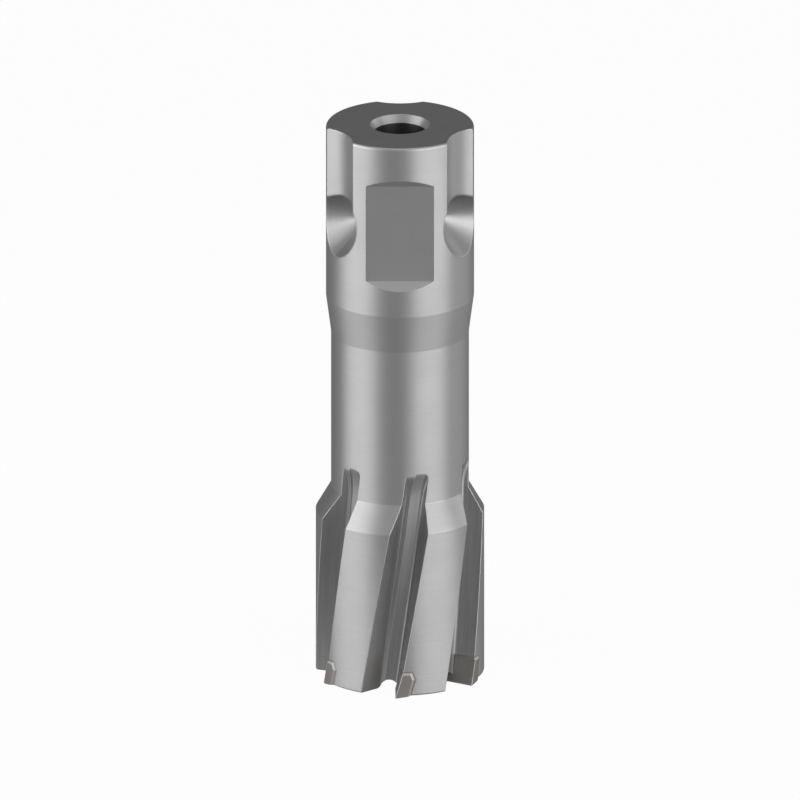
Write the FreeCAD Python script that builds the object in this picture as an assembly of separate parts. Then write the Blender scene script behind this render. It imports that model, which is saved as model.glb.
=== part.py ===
import FreeCAD
import Part
import math
import os

# An annular cutter: a hollow cutter whose six brazed teeth cut a ring and leave a slug.
# Lengths are in millimetres and angles in degrees.
# The axis is Z with the shank up, and the origin is on the axis, level with the cutting edges.
# Angles about the axis start at the front, -Y, and grow towards +X.

# Whole tool
overall_length = 74.5
tooth_count = 6
body_end_height = 0.3
body_end_chamfer = 0.18

# Shank with a straight side and three drive flats
shank_diameter = 19.05
shank_length = 23.05
shank_edge_round = 0.4
shank_taper_length = 5.0
drive_count = 3
flat_depth = 1.075
flat_top_distance = 5.53
flat_length = 12.94
flat_ramp_angle = 45.0

# Grooves that lead down from the top face into the conical seats
groove_depth = 1.525
groove_profile_radius = 6.52
seat_top_distance = 11.68
seat_depth = 4.66
seat_cone_angle = 90.0
seat_edge_round = 0.2

# Pilot pin hole through the shank
pilot_diameter = 6.5
pilot_chamfer = 0.6
pilot_chamfer_depth = 0.93

# Neck and cutting head
neck_diameter = 17.73
neck_length = 20.85
head_diameter = 21.66
head_taper_angle = 30.0

# Bore that takes the slug
bore_diameter = 14.0
bore_depth = 41.0
bore_end_angle = 60.0

# Helical flutes with a floor in two steps, described square to the middle of the floor
helix_angle = 10.0
flute_start_angle = -11.2
flute_web = 0.95
flute_step_height = 0.14
flute_deep_width = 1.63
flute_shallow_width = 0.61
flute_shelf_tilt = 12.0
flute_corner_round = 0.4
flute_corner_growth = 0.45
rake_wall_angle = 16.4
trailing_wall_angle = 39.3
flute_length = 25.7
flute_runout_radius = 9.4

# Carbide tips, drawn as seen looking in at the tooth: heights from the cutting edges,
# and reaches across from the line at which the tooth stands
tip_side_clearance = 0.17
tip_bore_clearance = 0.15
tip_lead = 0.6
tip_rake_angle = 16.2
tip_height = 3.45
tip_top_reach = 1.55
tip_vertex_height = 2.45
tip_vertex_reach = 1.95
tip_foot_reach = 1.35
tip_relief_angle = 9.0
tip_chamfer = 0.25
braze_thickness = 0.15

# Clearance ground ahead of each tip, and the gullet through the web beside it
gash_width = 1.2
gash_floor_clearance = 0.1
gullet_radius = 1.2
gullet_offset = 1.35
gullet_lip_round = 0.5

# Working clearances for cutting shapes
overshoot = 1.0

shank_radius = shank_diameter / 2
neck_radius = neck_diameter / 2
head_radius = head_diameter / 2
bore_radius = bore_diameter / 2
pilot_radius = pilot_diameter / 2
cutting_radius = head_radius + tip_side_clearance
tip_inner_radius = bore_radius - tip_bore_clearance
flute_floor_radius = bore_radius + flute_web
gash_floor_radius = flute_floor_radius + gash_floor_clearance
tooth_pitch = 360 / tooth_count
drive_pitch = 360 / drive_count
helix_rate = math.degrees(math.tan(math.radians(helix_angle)) / head_radius)


def tangent(angle):
    """Tangent of an angle in degrees."""
    return math.tan(math.radians(angle))


def on_section(angle, across, out, height):
    """Point given across and out from the axis, on a section turned by an angle."""
    turn = math.radians(angle)
    x = across * math.cos(turn) + out * math.sin(turn)
    y = across * math.sin(turn) - out * math.cos(turn)
    return FreeCAD.Vector(x, y, height)


def closed_wire(points):
    """Straight edges through the points, back to the first."""
    return Part.makePolygon(points + [points[0]])


def turned(shape, angle):
    """Copy of a shape, turned about the axis."""
    copy = shape.copy()
    copy.rotate(FreeCAD.Vector(0, 0, 0), FreeCAD.Vector(0, 0, 1), angle)
    return copy


def around(shape, count):
    """Copies of a shape, evenly spaced about the axis."""
    return [turned(shape, 360 * index / count) for index in range(count)]


def ring(outer_radius, inner_radius, low, high):
    """Tube between two radii and two heights."""
    base = FreeCAD.Vector(0, 0, low)
    outer = Part.makeCylinder(outer_radius, high - low, base)
    inner = Part.makeCylinder(inner_radius, high - low, base)
    return outer.cut(inner)


def make_blank():
    """Turned blank: shank, tapers, neck and head outside, pilot hole and slug bore inside."""
    top = overall_length
    shank_end = top - shank_length
    neck_top = shank_end - shank_taper_length
    neck_end = neck_top - neck_length
    head_top = neck_end - (head_radius - neck_radius) / tangent(head_taper_angle)
    bore_top = body_end_height + bore_depth
    bore_end_top = bore_top + (bore_radius - pilot_radius) / tangent(bore_end_angle)
    round_middle = shank_edge_round * (1 - math.sqrt(0.5))

    def point(radius, height):
        return FreeCAD.Vector(radius, 0, height)

    edge_round = Part.Arc(
        point(shank_radius - shank_edge_round, top),
        point(shank_radius - round_middle, top - round_middle),
        point(shank_radius, top - shank_edge_round),
    ).toShape()
    outside = Part.makePolygon([
        point(shank_radius, top - shank_edge_round),
        point(shank_radius, shank_end),
        point(neck_radius, neck_top),
        point(neck_radius, neck_end),
        point(head_radius, head_top),
        point(head_radius, body_end_height + body_end_chamfer),
        point(head_radius - body_end_chamfer, body_end_height),
        point(bore_radius, body_end_height),
        point(bore_radius, bore_top),
        point(pilot_radius, bore_end_top),
        point(pilot_radius, top - pilot_chamfer_depth),
        point(pilot_radius + pilot_chamfer, top),
        point(shank_radius - shank_edge_round, top),
    ])
    profile = Part.Wire([edge_round] + outside.Edges)
    return Part.Face(profile).revolve(FreeCAD.Vector(0, 0, 0), FreeCAD.Vector(0, 0, 1), 360)


def flat_tool():
    """Milled drive flat with a ramp at each end."""
    high = overall_length - flat_top_distance
    low = high - flat_length
    flat = shank_radius - flat_depth
    outside = shank_radius + overshoot
    ramp = (outside - flat) / tangent(flat_ramp_angle)
    side = [
        on_section(0, -shank_radius, flat, low),
        on_section(0, -shank_radius, flat, high),
        on_section(0, -shank_radius, outside, high + ramp),
        on_section(0, -shank_radius, outside, low - ramp),
    ]
    return Part.Face(closed_wire(side)).extrude(FreeCAD.Vector(shank_diameter, 0, 0))


def seat_tool():
    """Round groove from the top face into a conical seat, with the edge between them rounded."""
    low = overall_length - seat_top_distance
    reach = seat_depth + overshoot
    middle = on_section(0, 0, shank_radius - groove_depth + groove_profile_radius, low)
    groove = Part.makeCylinder(groove_profile_radius, seat_top_distance + overshoot, middle)
    apex = on_section(0, 0, shank_radius - seat_depth, low)
    cone = Part.makeCone(0, reach * tangent(seat_cone_angle / 2), reach, apex, on_section(0, 0, 1, 0))
    shank_end = overall_length - shank_length
    around_shank = Part.makeCylinder(
        shank_radius + overshoot / 2, shank_length + overshoot, FreeCAD.Vector(0, 0, shank_end)
    )
    tool = groove.fuse(cone).common(around_shank)
    meeting = {"Part::GeomCone", "Part::GeomCylinder"}
    seat_edges = [
        edge for edge in tool.Edges
        if edge.CenterOfMass.z > low
        and {face.Surface.TypeId for face in tool.ancestorsOfType(edge, Part.Face)} == meeting
    ]
    return tool.makeFillet(seat_edge_round, seat_edges)


def flute_section(height, rise):
    """Section of the flute at a height: two walls, and between them the stepped floor.

    The walls stay where they are while the floor rises, and the round corner at the foot of
    the rake wall opens out with it.
    """
    angle = flute_start_angle + helix_rate * height
    half_floor = (flute_deep_width + flute_shallow_width) / 2
    step = flute_shallow_width - half_floor
    shelf_drop = flute_shallow_width * tangent(flute_shelf_tilt)
    floor = flute_floor_radius + rise
    shelf = floor + flute_step_height
    outside = head_radius + overshoot
    corner = flute_corner_round + flute_corner_growth * rise
    wall_turn = math.radians(rake_wall_angle)
    half_corner = math.radians((90 - rake_wall_angle) / 2)
    setback = corner * math.tan(half_corner)
    foot = half_floor + rise * tangent(rake_wall_angle)
    wall_foot = foot + setback * math.sin(wall_turn)
    wall_foot_out = floor + setback * math.cos(wall_turn)
    shelf_end = -half_floor - rise * tangent(trailing_wall_angle)
    shelf_end_out = shelf - shelf_drop

    def point(across, out):
        return on_section(angle, across, out, height)

    corner_arc = Part.Arc(
        point(foot - setback, floor),
        point(
            foot - setback + corner * math.sin(half_corner),
            floor + corner - corner * math.cos(half_corner),
        ),
        point(wall_foot, wall_foot_out),
    ).toShape()
    straight = Part.makePolygon([
        point(wall_foot, wall_foot_out),
        point(wall_foot + (outside - wall_foot_out) * tangent(rake_wall_angle), outside),
        point(shelf_end - (outside - shelf_end_out) * tangent(trailing_wall_angle), outside),
        point(shelf_end, shelf_end_out),
        point(step, shelf),
        point(step, floor),
        point(foot - setback, floor),
    ])
    return Part.Wire([corner_arc] + straight.Edges)


def flute_tool():
    """Helical flute whose floor runs out of the blank along an arc at the upper end."""
    straight_steps = 8
    runout_steps = 8
    final_rise = neck_radius + overshoot / 2 - flute_floor_radius
    runout = math.sqrt(flute_runout_radius ** 2 - (flute_runout_radius - final_rise) ** 2)
    sections = []
    for index in range(straight_steps):
        height = -overshoot + (flute_length + overshoot) * index / straight_steps
        sections.append(flute_section(height, 0))
    for index in range(runout_steps + 1):
        along = runout * index / runout_steps
        rise = flute_runout_radius - math.sqrt(flute_runout_radius ** 2 - along ** 2)
        sections.append(flute_section(flute_length + along, rise))
    return Part.makeLoft(sections, True, False)


def tip_corners():
    """Corners of a tip's five-sided outline, with a V-shaped back, seen looking in at the tooth."""
    foot_width = tip_lead + tip_foot_reach
    return [
        on_section(0, -tip_lead, 0, 0),
        on_section(0, tip_height * tangent(tip_rake_angle) - tip_lead, 0, tip_height),
        on_section(0, tip_top_reach, 0, tip_height),
        on_section(0, tip_vertex_reach, 0, tip_vertex_height),
        on_section(0, tip_foot_reach, 0, foot_width * tangent(tip_relief_angle)),
    ]


def outward_prism(outline):
    """Prism that runs straight out from the axis, past the cutting edges."""
    return Part.Face(outline).extrude(on_section(0, 0, cutting_radius + overshoot, 0))


def plain_tip():
    """Carbide tip from the bore out to the cutting diameter, before its edges are broken."""
    shell = ring(cutting_radius, tip_inner_radius, -overshoot, tip_height + overshoot)
    return outward_prism(closed_wire(tip_corners())).common(shell)


def chamfer_wedge(start, end):
    """Wedge that chamfers a tip's outer edge between two corners of its outline."""
    outward = on_section(0, 0, 1, 0)
    low, high = [
        corner + outward * math.sqrt(cutting_radius ** 2 - corner.x ** 2) for corner in (start, end)
    ]
    along = (high - low).normalize() * overshoot
    side = outward.cross(along).normalize()
    reach = tip_chamfer + overshoot
    origin = low - along
    profile = closed_wire([
        origin + side * overshoot - outward * reach,
        origin - side * reach + outward * overshoot,
        origin + side * overshoot + outward * overshoot,
    ])
    return Part.Face(profile).extrude(high - low + along * 2)


def make_tip():
    """Carbide tip whose outer edges are chamfered along its top and its back."""
    corners = tip_corners()[1:]
    return plain_tip().cut([chamfer_wedge(start, end) for start, end in zip(corners, corners[1:])])


def ahead_of_tip():
    """Space ahead of the plane of the rake face, as high as the pocket of the tip."""
    low = -overshoot
    high = tip_height + braze_thickness
    foot = low * tangent(tip_rake_angle) - tip_lead
    head = high * tangent(tip_rake_angle) - tip_lead
    return outward_prism(closed_wire([
        on_section(0, foot, 0, low),
        on_section(0, head, 0, high),
        on_section(0, head - gash_width, 0, high),
        on_section(0, foot - gash_width, 0, low),
    ]))


def gash_tool():
    """Clearance ahead of the rake face, down to the floor of the flute."""
    height = tip_height + braze_thickness + 2 * overshoot
    core = Part.makeCylinder(gash_floor_radius, height, FreeCAD.Vector(0, 0, -overshoot))
    return ahead_of_tip().cut(core)


def gullet_tool():
    """Round gullet through the web, beside the rake face, with a rounded lip on its far side."""
    start = bore_radius - overshoot
    end = body_end_height
    lip_middle = math.sqrt((gullet_radius + gullet_lip_round) ** 2 - gullet_lip_round ** 2)
    share = gullet_radius / (gullet_radius + gullet_lip_round)
    half_turn = math.atan2(lip_middle, gullet_lip_round) / 2

    def point(across, up):
        return on_section(0, across - gullet_offset, start, end + up)

    round_top = Part.Arc(
        point(gullet_radius, 0),
        point(0, gullet_radius),
        point(-lip_middle * share, gullet_lip_round * share),
    ).toShape()
    lip = Part.Arc(
        point(-lip_middle * share, gullet_lip_round * share),
        point(
            gullet_lip_round * math.sin(half_turn) - lip_middle,
            gullet_lip_round - gullet_lip_round * math.cos(half_turn),
        ),
        point(-lip_middle, 0),
    ).toShape()
    below = Part.makePolygon([
        point(-lip_middle, 0),
        point(-lip_middle, -overshoot),
        point(gullet_radius, -overshoot),
        point(gullet_radius, 0),
    ])
    profile = Part.Wire([round_top, lip] + below.Edges)
    reach = head_radius + overshoot - start
    return Part.Face(profile).extrude(on_section(0, 0, reach, 0))


def make_braze():
    """Braze between a tip and its pocket, flush with the steel outside and in the bore."""
    grown = closed_wire(tip_corners()).makeOffset2D(braze_thickness, 2, False, False)
    return outward_prism(grown).common(make_blank()).cut([plain_tip(), ahead_of_tip()])


def make_body(braze):
    """One-piece steel body, cut from the blank."""
    cuts = around(flat_tool(), drive_count)
    cuts += around(turned(seat_tool(), drive_pitch / 2), drive_count)
    for tool in (flute_tool(), gash_tool(), gullet_tool(), plain_tip(), braze):
        cuts += around(tool, tooth_count)
    return make_blank().cut(cuts)


os.makedirs("parts", exist_ok=True)
first_tip = make_tip()
first_braze = make_braze()
make_body(first_braze).exportStep("parts/cutter_body.step")
for number in range(1, tooth_count + 1):
    place = tooth_pitch * (number - 1)
    turned(first_tip, place).exportStep(f"parts/carbide_tip_{number}.step")
    turned(first_braze, place).exportStep(f"parts/braze_seam_{number}.step")
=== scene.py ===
"""Looks of the annular cutter: ground steel, carbide tips and braze, in a small studio.

Lengths are in metres. The axis is Z with the shank up, and the front is -Y.
"""

import math
from types import SimpleNamespace

import bpy
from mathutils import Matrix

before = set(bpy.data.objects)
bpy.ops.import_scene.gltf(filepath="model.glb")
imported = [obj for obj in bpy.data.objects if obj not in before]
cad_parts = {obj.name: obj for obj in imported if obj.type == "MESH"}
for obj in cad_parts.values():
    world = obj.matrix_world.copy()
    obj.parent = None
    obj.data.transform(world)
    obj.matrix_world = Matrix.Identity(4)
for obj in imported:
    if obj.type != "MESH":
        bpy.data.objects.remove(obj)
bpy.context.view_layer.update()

# Places on the cutter
NECK_RADIUS = 0.008865
HEAD_RADIUS = 0.01083
PILOT_RADIUS = 0.00325
PILOT_CHAMFER_FOOT = 0.07357
SEAT_HEIGHT = 0.06282
SEAT_APEX_RADIUS = 0.004865
SEAT_COUNT = 3
FLUTE_TOP = 0.0315
HELIX_ANGLE = math.radians(10.0)
TOOTH_COUNT = 6

# Distances over which the masks of those places fade
PILOT_FADE = 0.0001
FLUTE_TOP_FADE = 0.0002
FLUTE_FLOOR_FADE = 0.0003
SEAT_FADE = (0.00005, 0.00025)

# Cosines between a face and a direction, where the masks that depend on them begin and end
WALL_FROM_RADIUS = (0.93, 0.99)
CHAMFER_FROM_RADIUS = (0.45, 0.6)
LAND_FROM_RADIUS = (0.88, 0.95)
FLAT_END_FROM_AXIS = (0.9, 0.98)

# Marks and clouds of the ground metal, and the edge mask range of the painted highlight
EDGE_DEPARTURE = (0.004, 0.08)
FLUTE_LINES = (0.35, 0.35, 0.012)
LINE_RANGE = (0.4, 0.65)
LINE_ROUGHNESS = 0.06
LINE_BUMP = 0.25
LINE_DETAIL = 3.0
CLOUD_SCALE = 220.0
CLOUD_RANGE = (0.35, 0.75)
CLOUD_DETAIL = 4.0

# Camera
CAMERA_ELEVATION = math.radians(19.47)
CAMERA_DISTANCE = 0.6
VIEW_WIDTH = 0.10287
VIEW_CENTRE_HEIGHT = 0.03687

# Greys of the room, with the parts of a direction (-1 to 1) where each begins and ends
ROOM_GREY = 0.26
ROOM_BEHIND = 0.14
ROOM_BELOW = 0.10
ROOM_OVERHEAD = 0.19
BEHIND_DEPTHS = (-0.2, 0.6)
BEHIND_HEIGHTS = (-0.1, 0.2)
BEHIND_LOW_SHARE = 0.5
BELOW_HEIGHTS = (-0.8, -0.4)
OVERHEAD_HEIGHTS = (0.45, 0.75)

# Floor and lamps
FLOOR_RADIUS = 1.5
FLOOR_RIM_POINTS = 96
FLOOR_GREY = 0.85
FLOOR_WHITE_SHARE = 0.97
LAMP_DISTANCE = 0.7


# Node helpers

def add_node(tree, kind, **settings):
    """Node of a kind with its settings."""
    node = tree.nodes.new(kind)
    for name, value in settings.items():
        setattr(node, name, value)
    return node


def feed(tree, socket, value):
    """Links a socket into an input, or sets the input to a plain value."""
    if isinstance(value, bpy.types.NodeSocket):
        tree.links.new(value, socket)
    else:
        socket.default_value = value


def math_node(tree, operation, *values):
    """Result of a math node on one, two or three values."""
    node = add_node(tree, "ShaderNodeMath", operation=operation)
    for socket, value in zip(node.inputs, values):
        feed(tree, socket, value)
    return node.outputs[0]


def vector_node(tree, operation, *values):
    """Result of a vector math node: a number for a dot product or a length."""
    node = add_node(tree, "ShaderNodeVectorMath", operation=operation)
    for socket, value in zip(node.inputs, values):
        feed(tree, socket, value)
    return node.outputs["Value" if operation in ("DOT_PRODUCT", "LENGTH") else "Vector"]


def vector_from(tree, x, y, z):
    """Vector made of three values."""
    node = add_node(tree, "ShaderNodeCombineXYZ")
    for socket, value in zip(node.inputs, (x, y, z)):
        feed(tree, socket, value)
    return node.outputs[0]


def parts_of(tree, vector):
    """The three values of a vector."""
    node = add_node(tree, "ShaderNodeSeparateXYZ")
    feed(tree, node.inputs[0], vector)
    return node.outputs


def rise(tree, value, low, high):
    """Smooth step that is 0 below low and 1 above high."""
    node = add_node(tree, "ShaderNodeMapRange", interpolation_type="SMOOTHSTEP")
    feed(tree, node.inputs["Value"], value)
    node.inputs["From Min"].default_value = low
    node.inputs["From Max"].default_value = high
    return node.outputs["Result"]


def fall(tree, value, low, high):
    """Smooth step that is 1 below low and 0 above high."""
    return math_node(tree, "SUBTRACT", 1.0, rise(tree, value, low, high))


def mix(tree, kind, factor, first, second):
    """Value between two, by a factor: a number (FLOAT), a VECTOR or a colour (RGBA)."""
    socket_type = "VALUE" if kind == "FLOAT" else kind
    node = add_node(tree, "ShaderNodeMix", data_type=kind)
    feed(tree, node.inputs["Factor"], factor)
    ends = [socket for socket in node.inputs if socket.name in ("A", "B") and socket.type == socket_type]
    feed(tree, ends[0], first)
    feed(tree, ends[1], second)
    return next(out for out in node.outputs if out.type == socket_type)


def noise(tree, at, scale, detail):
    """Noise value at a place."""
    node = add_node(tree, "ShaderNodeTexNoise")
    feed(tree, node.inputs["Vector"], at)
    feed(tree, node.inputs["Scale"], scale)
    node.inputs["Detail"].default_value = detail
    return node.outputs["Fac"]


def new_group(name, inputs, outputs):
    """Shader node group with named float inputs and named outputs, and its two end nodes."""
    tree = bpy.data.node_groups.new(name, "ShaderNodeTree")
    for label, value in inputs.items():
        socket = tree.interface.new_socket(name=label, in_out="INPUT", socket_type="NodeSocketFloat")
        socket.default_value = value
    for label, kind in outputs.items():
        tree.interface.new_socket(name=label, in_out="OUTPUT", socket_type=kind)
    return tree, add_node(tree, "NodeGroupInput"), add_node(tree, "NodeGroupOutput")


def place_group(tree, group, **values):
    """A group placed in a material, with its own values."""
    node = add_node(tree, "ShaderNodeGroup", node_tree=group)
    for label, value in values.items():
        feed(tree, node.inputs[label.replace("_", " ")], value)
    return node.outputs


def place_on_part(tree):
    """Object position, its part square to the axis, the height, the radius and the angle from the front."""
    position = add_node(tree, "ShaderNodeTexCoord").outputs["Object"]
    across, depth, height = parts_of(tree, position)
    off_axis = vector_from(tree, across, depth, 0.0)
    return SimpleNamespace(
        position=position,
        off_axis=off_axis,
        height=height,
        radius=vector_node(tree, "LENGTH", off_axis),
        angle=math_node(tree, "ARCTAN2", across, math_node(tree, "MULTIPLY", depth, -1.0)),
    )


def place_in_seat(tree, place):
    """Place in the nearest cone seat: the way out from its axis, the distance, and a mask of its cone.

    The angle is folded about the seats, which stand half a pitch off the flats. On a right-angled
    cone the distance from its axis equals the depth above its apex, and the mask is 1 where they agree.
    """
    half_pitch = math.pi / SEAT_COUNT
    from_seat = math_node(tree, "SUBTRACT", place.angle, half_pitch)
    folded = math_node(tree, "WRAP", from_seat, half_pitch, -half_pitch)
    seat_angle = math_node(tree, "SUBTRACT", place.angle, folded)
    along = math_node(tree, "MULTIPLY", place.radius, math_node(tree, "SINE", folded))
    out = math_node(tree, "MULTIPLY", place.radius, math_node(tree, "COSINE", folded))
    way = vector_from(
        tree,
        math_node(tree, "MULTIPLY", along, math_node(tree, "COSINE", seat_angle)),
        math_node(tree, "MULTIPLY", along, math_node(tree, "SINE", seat_angle)),
        math_node(tree, "SUBTRACT", place.height, SEAT_HEIGHT),
    )
    distance = vector_node(tree, "LENGTH", way)
    above_apex = math_node(tree, "SUBTRACT", out, SEAT_APEX_RADIUS)
    gap = math_node(tree, "ABSOLUTE", math_node(tree, "SUBTRACT", distance, above_apex))
    return SimpleNamespace(way=way, distance=distance, mask=fall(tree, gap, *SEAT_FADE))


def true_normal(tree):
    """Normal of the face itself."""
    return add_node(tree, "ShaderNodeNewGeometry").outputs["True Normal"]


# Effects that the finishes share: rounded edges, the masks of painted highlights and painted shade, and
# grinding marks

def make_edge_group():
    """Rounded edges: the normal turned towards its neighbours within a radius of an edge.

    The mask is 0 on open faces and 1 where the turned normal leaves the true one; the finishes paint a
    highlight along the edges by it.
    """
    tree, start, end = new_group(
        "rounded_edges",
        {"Radius": 0.0001},
        {"Normal": "NodeSocketVector", "Edge": "NodeSocketFloat"},
    )
    rounding = add_node(tree, "ShaderNodeBevel", samples=8)
    feed(tree, rounding.inputs["Radius"], start.outputs["Radius"])
    normal = add_node(tree, "ShaderNodeNewGeometry").outputs["Normal"]
    likeness = vector_node(tree, "DOT_PRODUCT", rounding.outputs["Normal"], normal)
    departure = math_node(tree, "SUBTRACT", 1.0, likeness)
    feed(tree, end.inputs["Normal"], rounding.outputs["Normal"])
    feed(tree, end.inputs["Edge"], rise(tree, departure, *EDGE_DEPARTURE))
    return tree


def make_place_group():
    """Masks of the flutes, their sunk floors, the pilot hole, the cone seats and the chamfers.

    Lands look straight out along the radius, the walls of the flutes turn away from it sideways,
    and chamfers lean between the two. The finishes paint shade by the flute, seat and pilot masks,
    a highlight by the chamfer mask, and fade the painted edge highlight by the sunk mask.
    """
    labels = ("Flute", "Sunk", "Pilot", "Seat", "Chamfer")
    tree, _, end = new_group("places", {}, {label: "NodeSocketFloat" for label in labels})
    place = place_on_part(tree)
    normal = true_normal(tree)
    outwards = vector_node(tree, "NORMALIZE", place.off_axis)

    # The flute mask steers the flute grinding lines and the painted shade in the flutes; the sunk mask
    # fades the painted edge highlight deep in them.
    level_normal = vector_node(tree, "NORMALIZE", vector_node(tree, "MULTIPLY", normal, (1.0, 1.0, 0.0)))
    wall = fall(tree, vector_node(tree, "DOT_PRODUCT", level_normal, outwards), *WALL_FROM_RADIUS)
    sunk = fall(tree, place.radius, NECK_RADIUS - FLUTE_FLOOR_FADE, NECK_RADIUS)
    below_top = fall(tree, place.height, FLUTE_TOP, FLUTE_TOP + FLUTE_TOP_FADE)
    walls_and_floor = math_node(tree, "MAXIMUM", wall, sunk)
    feed(tree, end.inputs["Flute"], math_node(tree, "MULTIPLY", walls_and_floor, below_top))
    feed(tree, end.inputs["Sunk"], math_node(tree, "MULTIPLY", sunk, below_top))

    # Inside the pilot hole below its chamfer, where the finishes paint shade.
    narrow = fall(tree, place.radius, PILOT_RADIUS, PILOT_RADIUS + PILOT_FADE)
    deep = fall(tree, place.height, PILOT_CHAMFER_FOOT - PILOT_FADE, PILOT_CHAMFER_FOOT)
    feed(tree, end.inputs["Pilot"], math_node(tree, "MULTIPLY", narrow, deep))

    # The seat mask steers the seat grinding lines, the spread of their highlights and the painted shade
    # over the seats.
    feed(tree, end.inputs["Seat"], place_in_seat(tree, place).mask)

    # Chamfers take the painted edge highlight.
    openness = vector_node(tree, "DOT_PRODUCT", normal, outwards)
    leaning = rise(tree, openness, *CHAMFER_FROM_RADIUS)
    not_land = fall(tree, openness, *LAND_FROM_RADIUS)
    feed(tree, end.inputs["Chamfer"], math_node(tree, "MULTIPLY", leaning, not_land))
    return tree


def make_grinding_group():
    """Grinding marks: fine lines round the axis, round each seat, and along the helix in the flutes.

    Turned lines change with the radius and the height only, and seat lines with the distance from
    the seat's own axis. Flute lines change across the flute, with the angle less the height times
    the tangent of the helix over the radius. Flute and Seat are the masks of those places.
    """
    tree, start, end = new_group(
        "grinding_marks",
        {"Line Scale": 9000.0, "Flute": 0.0, "Seat": 0.0},
        {"Height": "NodeSocketFloat", "Haze": "NodeSocketFloat"},
    )
    place = place_on_part(tree)
    twist = math_node(tree, "MULTIPLY", place.height, math.tan(HELIX_ANGLE) / HEAD_RADIUS)
    round_flute = math_node(tree, "MULTIPLY", math_node(tree, "SUBTRACT", place.angle, twist), HEAD_RADIUS)
    turned_at = vector_from(tree, place.radius, place.height, 0.0)
    flute_place = vector_from(tree, round_flute, place.radius, place.height)
    flute_at = vector_node(tree, "MULTIPLY", flute_place, FLUTE_LINES)
    seat_at = vector_from(tree, place_in_seat(tree, place).distance, 0.0, 0.0)

    scale = start.outputs["Line Scale"]
    lines = noise(tree, turned_at, scale, LINE_DETAIL)
    lines = mix(tree, "FLOAT", start.outputs["Flute"], lines, noise(tree, flute_at, scale, LINE_DETAIL))
    lines = mix(tree, "FLOAT", start.outputs["Seat"], lines, noise(tree, seat_at, scale, LINE_DETAIL))
    feed(tree, end.inputs["Height"], lines)
    feed(tree, end.inputs["Haze"], noise(tree, place.position, CLOUD_SCALE, CLOUD_DETAIL))
    return tree


def spread_direction(tree):
    """Direction that highlights spread in, square to the marks.

    It is along the axis on turned walls, across on flat ends, and along the cone in a seat.
    """
    seat = place_in_seat(tree, place_on_part(tree))
    upright = math_node(
        tree, "ABSOLUTE", vector_node(tree, "DOT_PRODUCT", true_normal(tree), (0.0, 0.0, 1.0))
    )
    flat_end = rise(tree, upright, *FLAT_END_FROM_AXIS)
    turned = mix(tree, "VECTOR", flat_end, (0.0, 0.0, 1.0), (1.0, 0.0, 0.0))
    return mix(tree, "VECTOR", seat.mask, turned, vector_node(tree, "NORMALIZE", seat.way))


# Finishes, with painted highlights and painted shade

edge_group = make_edge_group()
place_mask_group = make_place_group()
grinding_group = make_grinding_group()


def tint(red, green, blue):
    """Colour with full alpha."""
    return (red, green, blue, 1.0)


def grey(value):
    """Grey with full alpha."""
    return tint(value, value, value)


def make_finish_and_painted_light(name, colours, flute_edge, chamfer_share, line_share, flute_line_share, roughness,
                haze_roughness, edge_radius, line_scale, line_depth, metallic, anisotropic):
    """Metal finish: a colour that clouds a little, painted highlights along the edges, painted shade
    in the flutes, seats and pilot hole, and grinding marks.

    colours names the colours of open faces, haze and lines, the painted shade of the flutes, the
    painted highlight of the edges, and the painted shade of the seats and the pilot hole where the
    piece has them. flute_edge is the share of the painted edge highlight that is kept deep in the
    flutes, and chamfer_share is how far chamfers take the painted highlight's colour. The line
    shares are how far the marks turn to the line colour, on open faces and in the flutes.
    haze_roughness is what the clouds add to the roughness.
    """
    material = bpy.data.materials.new(name)
    material.use_nodes = True
    tree = material.node_tree
    shader = tree.nodes["Principled BSDF"]
    edges = place_group(tree, edge_group, Radius=edge_radius)
    masks = place_group(tree, place_mask_group)
    marks = place_group(
        tree, grinding_group, Line_Scale=line_scale, Flute=masks["Flute"], Seat=masks["Seat"]
    )

    cloud = rise(tree, marks["Haze"], *CLOUD_RANGE)
    share = math_node(tree, "MULTIPLY_ADD", masks["Flute"], flute_line_share - line_share, line_share)
    line = math_node(tree, "MULTIPLY", rise(tree, marks["Height"], *LINE_RANGE), share)
    # edge is a painted highlight: lighter along the edges and on chamfers, and fainter deep in the flutes.
    kept = math_node(tree, "MULTIPLY_ADD", masks["Sunk"], flute_edge - 1.0, 1.0)
    edge = math_node(tree, "MULTIPLY", edges["Edge"], kept)
    edge = math_node(tree, "MAXIMUM", edge, math_node(tree, "MULTIPLY", masks["Chamfer"], chamfer_share))
    # haze and line are the metal's own clouds and grinding marks; flute, seat and pilot are painted shade,
    # and edge is a painted highlight.
    tones_and_painted_light = {
        "haze": cloud, "flute": masks["Flute"], "seat": masks["Seat"],
        "line": line, "edge": edge, "pilot": masks["Pilot"],
    }
    colour = colours["open"]
    for layer, mask in tones_and_painted_light.items():
        if layer in colours:
            colour = mix(tree, "RGBA", mask, colour, colours[layer])
    feed(tree, shader.inputs["Base Color"], colour)

    rough = math_node(tree, "MULTIPLY_ADD", cloud, haze_roughness, roughness)
    rough = math_node(tree, "MULTIPLY_ADD", marks["Height"], LINE_ROUGHNESS, rough)
    feed(tree, shader.inputs["Roughness"], rough)

    bump = add_node(tree, "ShaderNodeBump")
    bump.inputs["Strength"].default_value = LINE_BUMP
    bump.inputs["Distance"].default_value = line_depth
    feed(tree, bump.inputs["Height"], marks["Height"])
    feed(tree, bump.inputs["Normal"], edges["Normal"])
    feed(tree, shader.inputs["Normal"], bump.outputs["Normal"])
    shader.inputs["Metallic"].default_value = metallic
    shader.inputs["Anisotropic"].default_value = anisotropic
    if anisotropic:
        feed(tree, shader.inputs["Tangent"], spread_direction(tree))
    return material


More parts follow.
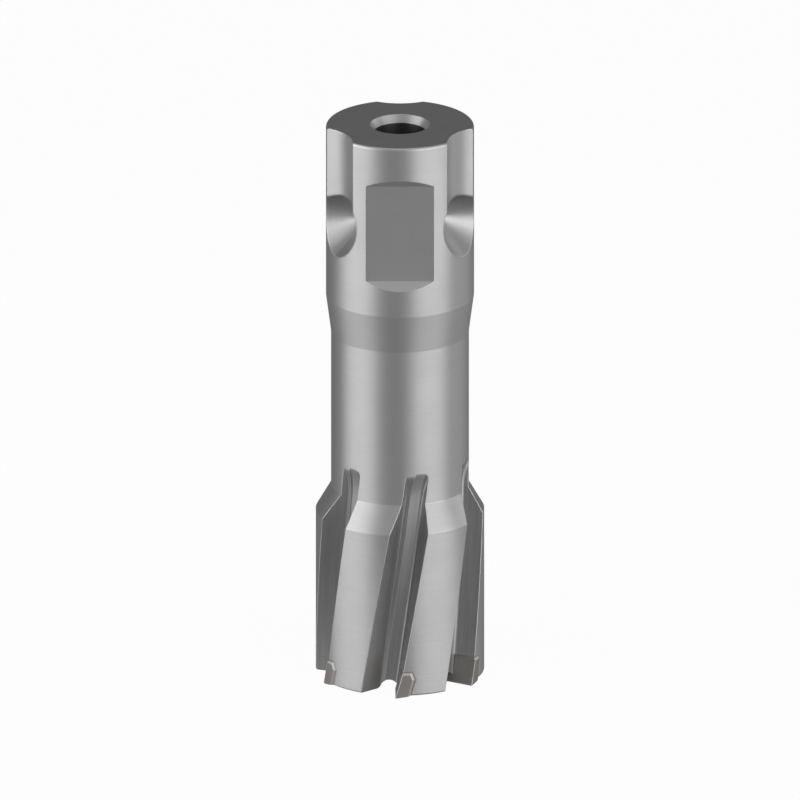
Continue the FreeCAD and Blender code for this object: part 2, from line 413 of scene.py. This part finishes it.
steel = make_finish_and_painted_light(
    "ground_steel",
    colours={
        # grey(0.51) for flute is painted shade in the flutes.
        "open": grey(0.71), "haze": grey(0.685), "flute": grey(0.51), "line": grey(0.3),
        # grey(0.14) for pilot is painted shade inside the pilot hole.
        # grey(0.62) for seat is painted shade over the cone seats.
        # grey(0.92) for edge is a painted highlight along the edges.
        "edge": grey(0.92), "seat": grey(0.62), "pilot": grey(0.14),
    },
    flute_edge=0.15, chamfer_share=0.0, line_share=0.05, flute_line_share=0.22,
    roughness=0.46, haze_roughness=0.03, edge_radius=0.00013,
    line_scale=9000.0, line_depth=0.000004, metallic=1.0, anisotropic=0.65,
)
carbide = make_finish_and_painted_light(
    "ground_carbide",
    colours={
        "open": tint(0.44, 0.405, 0.375), "haze": tint(0.38, 0.35, 0.325),
        # flute is painted shade in the flutes.
        "flute": tint(0.395, 0.388, 0.372), "line": tint(0.3, 0.275, 0.25),
        # edge is a near-white painted highlight on the tips' edges, and on their chamfers by chamfer_share.
        "edge": tint(0.95, 0.93, 0.91),
    },
    flute_edge=0.7, chamfer_share=0.6, line_share=0.15, flute_line_share=0.15,
    roughness=0.46, haze_roughness=0.08, edge_radius=0.00014,
    line_scale=7000.0, line_depth=0.000003, metallic=0.75, anisotropic=0.0,
)
braze = make_finish_and_painted_light(
    "heat_darkened_braze",
    colours={
        "open": tint(0.46, 0.425, 0.39), "haze": tint(0.36, 0.33, 0.295),
        "flute": tint(0.42, 0.395, 0.37), "line": tint(0.18, 0.155, 0.135),
        # flute is painted shade in the flutes.
        "edge": tint(0.50, 0.46, 0.42),
    # edge is a slight painted highlight along the braze's edges.
    },
    flute_edge=0.6, chamfer_share=0.0, line_share=0.3, flute_line_share=0.3,
    roughness=0.5, haze_roughness=0.12, edge_radius=0.00004,
    line_scale=4000.0, line_depth=0.000006, metallic=0.6, anisotropic=0.0,
)


def dress(node_name, material):
    """Gives a node of the frame its finish."""
    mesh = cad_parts[node_name].data
    mesh.materials.clear()
    mesh.materials.append(material)


dress("cutter_body", steel)
for number in range(1, TOOTH_COUNT + 1):
    dress(f"carbide_tip_{number}", carbide)
    dress(f"braze_seam_{number}", braze)


# Studio

def share_with_camera(tree, output, share, others, camera):
    """Feeds an output node with a shader for the camera's rays, by a share, and one for all others."""
    camera_ray = add_node(tree, "ShaderNodeLightPath").outputs["Is Camera Ray"]
    seen = add_node(tree, "ShaderNodeMixShader")
    feed(tree, seen.inputs[0], math_node(tree, "MULTIPLY", camera_ray, share))
    feed(tree, seen.inputs[1], others.outputs[0])
    feed(tree, seen.inputs[2], camera.outputs[0])
    feed(tree, tree.nodes[output].inputs["Surface"], seen.outputs[0])


def plain_surface(name):
    """Pale surface, white to the camera with a share of its shadow kept."""
    material = bpy.data.materials.new(name)
    material.use_nodes = True
    tree = material.node_tree
    tree.nodes.remove(tree.nodes["Principled BSDF"])
    lit = add_node(tree, "ShaderNodeBsdfDiffuse")
    lit.inputs["Color"].default_value = grey(FLOOR_GREY)
    white = add_node(tree, "ShaderNodeEmission")
    share_with_camera(tree, "Material Output", FLOOR_WHITE_SHARE, others=lit, camera=white)
    return material


def make_floor():
    """Round floor that the teeth stand on, left out of the metal's reflections."""
    turns = [math.tau * point / FLOOR_RIM_POINTS for point in range(FLOOR_RIM_POINTS)]
    rim = [(FLOOR_RADIUS * math.cos(turn), FLOOR_RADIUS * math.sin(turn), 0.0) for turn in turns]
    mesh = bpy.data.meshes.new("floor")
    mesh.from_pydata(rim, [], [tuple(range(FLOOR_RIM_POINTS))])
    mesh.materials.append(plain_surface("pale_floor"))
    floor = bpy.data.objects.new("floor", mesh)
    floor.visible_glossy = False
    bpy.context.scene.collection.objects.link(floor)


def make_world():
    """Grey room light, white to the camera: darker high up behind the part, overhead and far below."""
    world = bpy.data.worlds.new("room")
    bpy.context.scene.world = world
    world.use_nodes = True
    tree = world.node_tree
    _, depth, height = parts_of(tree, add_node(tree, "ShaderNodeTexCoord").outputs["Generated"])
    high_share = math_node(
        tree, "MULTIPLY_ADD", rise(tree, height, *BEHIND_HEIGHTS), 1.0 - BEHIND_LOW_SHARE, BEHIND_LOW_SHARE
    )
    behind = math_node(tree, "MULTIPLY", rise(tree, depth, *BEHIND_DEPTHS), high_share)
    light = ROOM_GREY
    for place, room_grey in (
        (behind, ROOM_BEHIND),
        (fall(tree, height, *BELOW_HEIGHTS), ROOM_BELOW),
        (rise(tree, height, *OVERHEAD_HEIGHTS), ROOM_OVERHEAD),
    ):
        light = math_node(tree, "MULTIPLY_ADD", place, room_grey - ROOM_GREY, light)
    room = tree.nodes["Background"]
    feed(tree, room.inputs["Color"], vector_from(tree, light, light, light))
    white = add_node(tree, "ShaderNodeBackground")
    white.inputs["Color"].default_value = grey(1.0)
    share_with_camera(tree, "World Output", 1.0, others=room, camera=white)


def set_facing(placed, azimuth, elevation, distance):
    """Sets an object at a distance from the view's centre, facing it; azimuths run from the front to +X."""
    placed.location = (
        distance * math.cos(elevation) * math.sin(azimuth),
        -distance * math.cos(elevation) * math.cos(azimuth),
        VIEW_CENTRE_HEIGHT + distance * math.sin(elevation),
    )
    placed.rotation_euler = (math.pi / 2 - elevation, 0.0, azimuth)
    bpy.context.scene.collection.objects.link(placed)


def make_softbox(name, azimuth, elevation, width, height, radiance):
    """Rectangular lamp that faces the object, unseen by the camera; its angles are in degrees."""
    lamp = bpy.data.lights.new(name, "AREA")
    lamp.shape = "RECTANGLE"
    lamp.size = width
    lamp.size_y = height
    lamp.energy = radiance * math.pi * width * height
    placed = bpy.data.objects.new(name, lamp)
    placed.visible_camera = False
    set_facing(placed, math.radians(azimuth), math.radians(elevation), LAMP_DISTANCE)


def make_camera():
    """Camera without perspective, at the photograph's angle."""
    data = bpy.data.cameras.new("camera")
    data.type = "ORTHO"
    data.ortho_scale = VIEW_WIDTH
    data.clip_start = 0.01
    data.clip_end = 5.0
    camera = bpy.data.objects.new("camera", data)
    set_facing(camera, 0.0, CAMERA_ELEVATION, CAMERA_DISTANCE)
    bpy.context.scene.camera = camera


make_floor()
make_world()
make_softbox("left_softbox", azimuth=-69, elevation=12, width=0.78, height=0.38, radiance=2.65)
make_softbox("right_softbox", azimuth=49, elevation=10, width=0.80, height=0.46, radiance=2.08)
make_softbox("right_back_softbox", azimuth=112, elevation=13, width=0.5, height=0.38, radiance=0.9)
make_softbox("top_softbox", azimuth=0, elevation=80, width=0.5, height=0.5, radiance=0.6)
make_camera()

view = bpy.context.scene.view_settings
view.view_transform = "Standard"
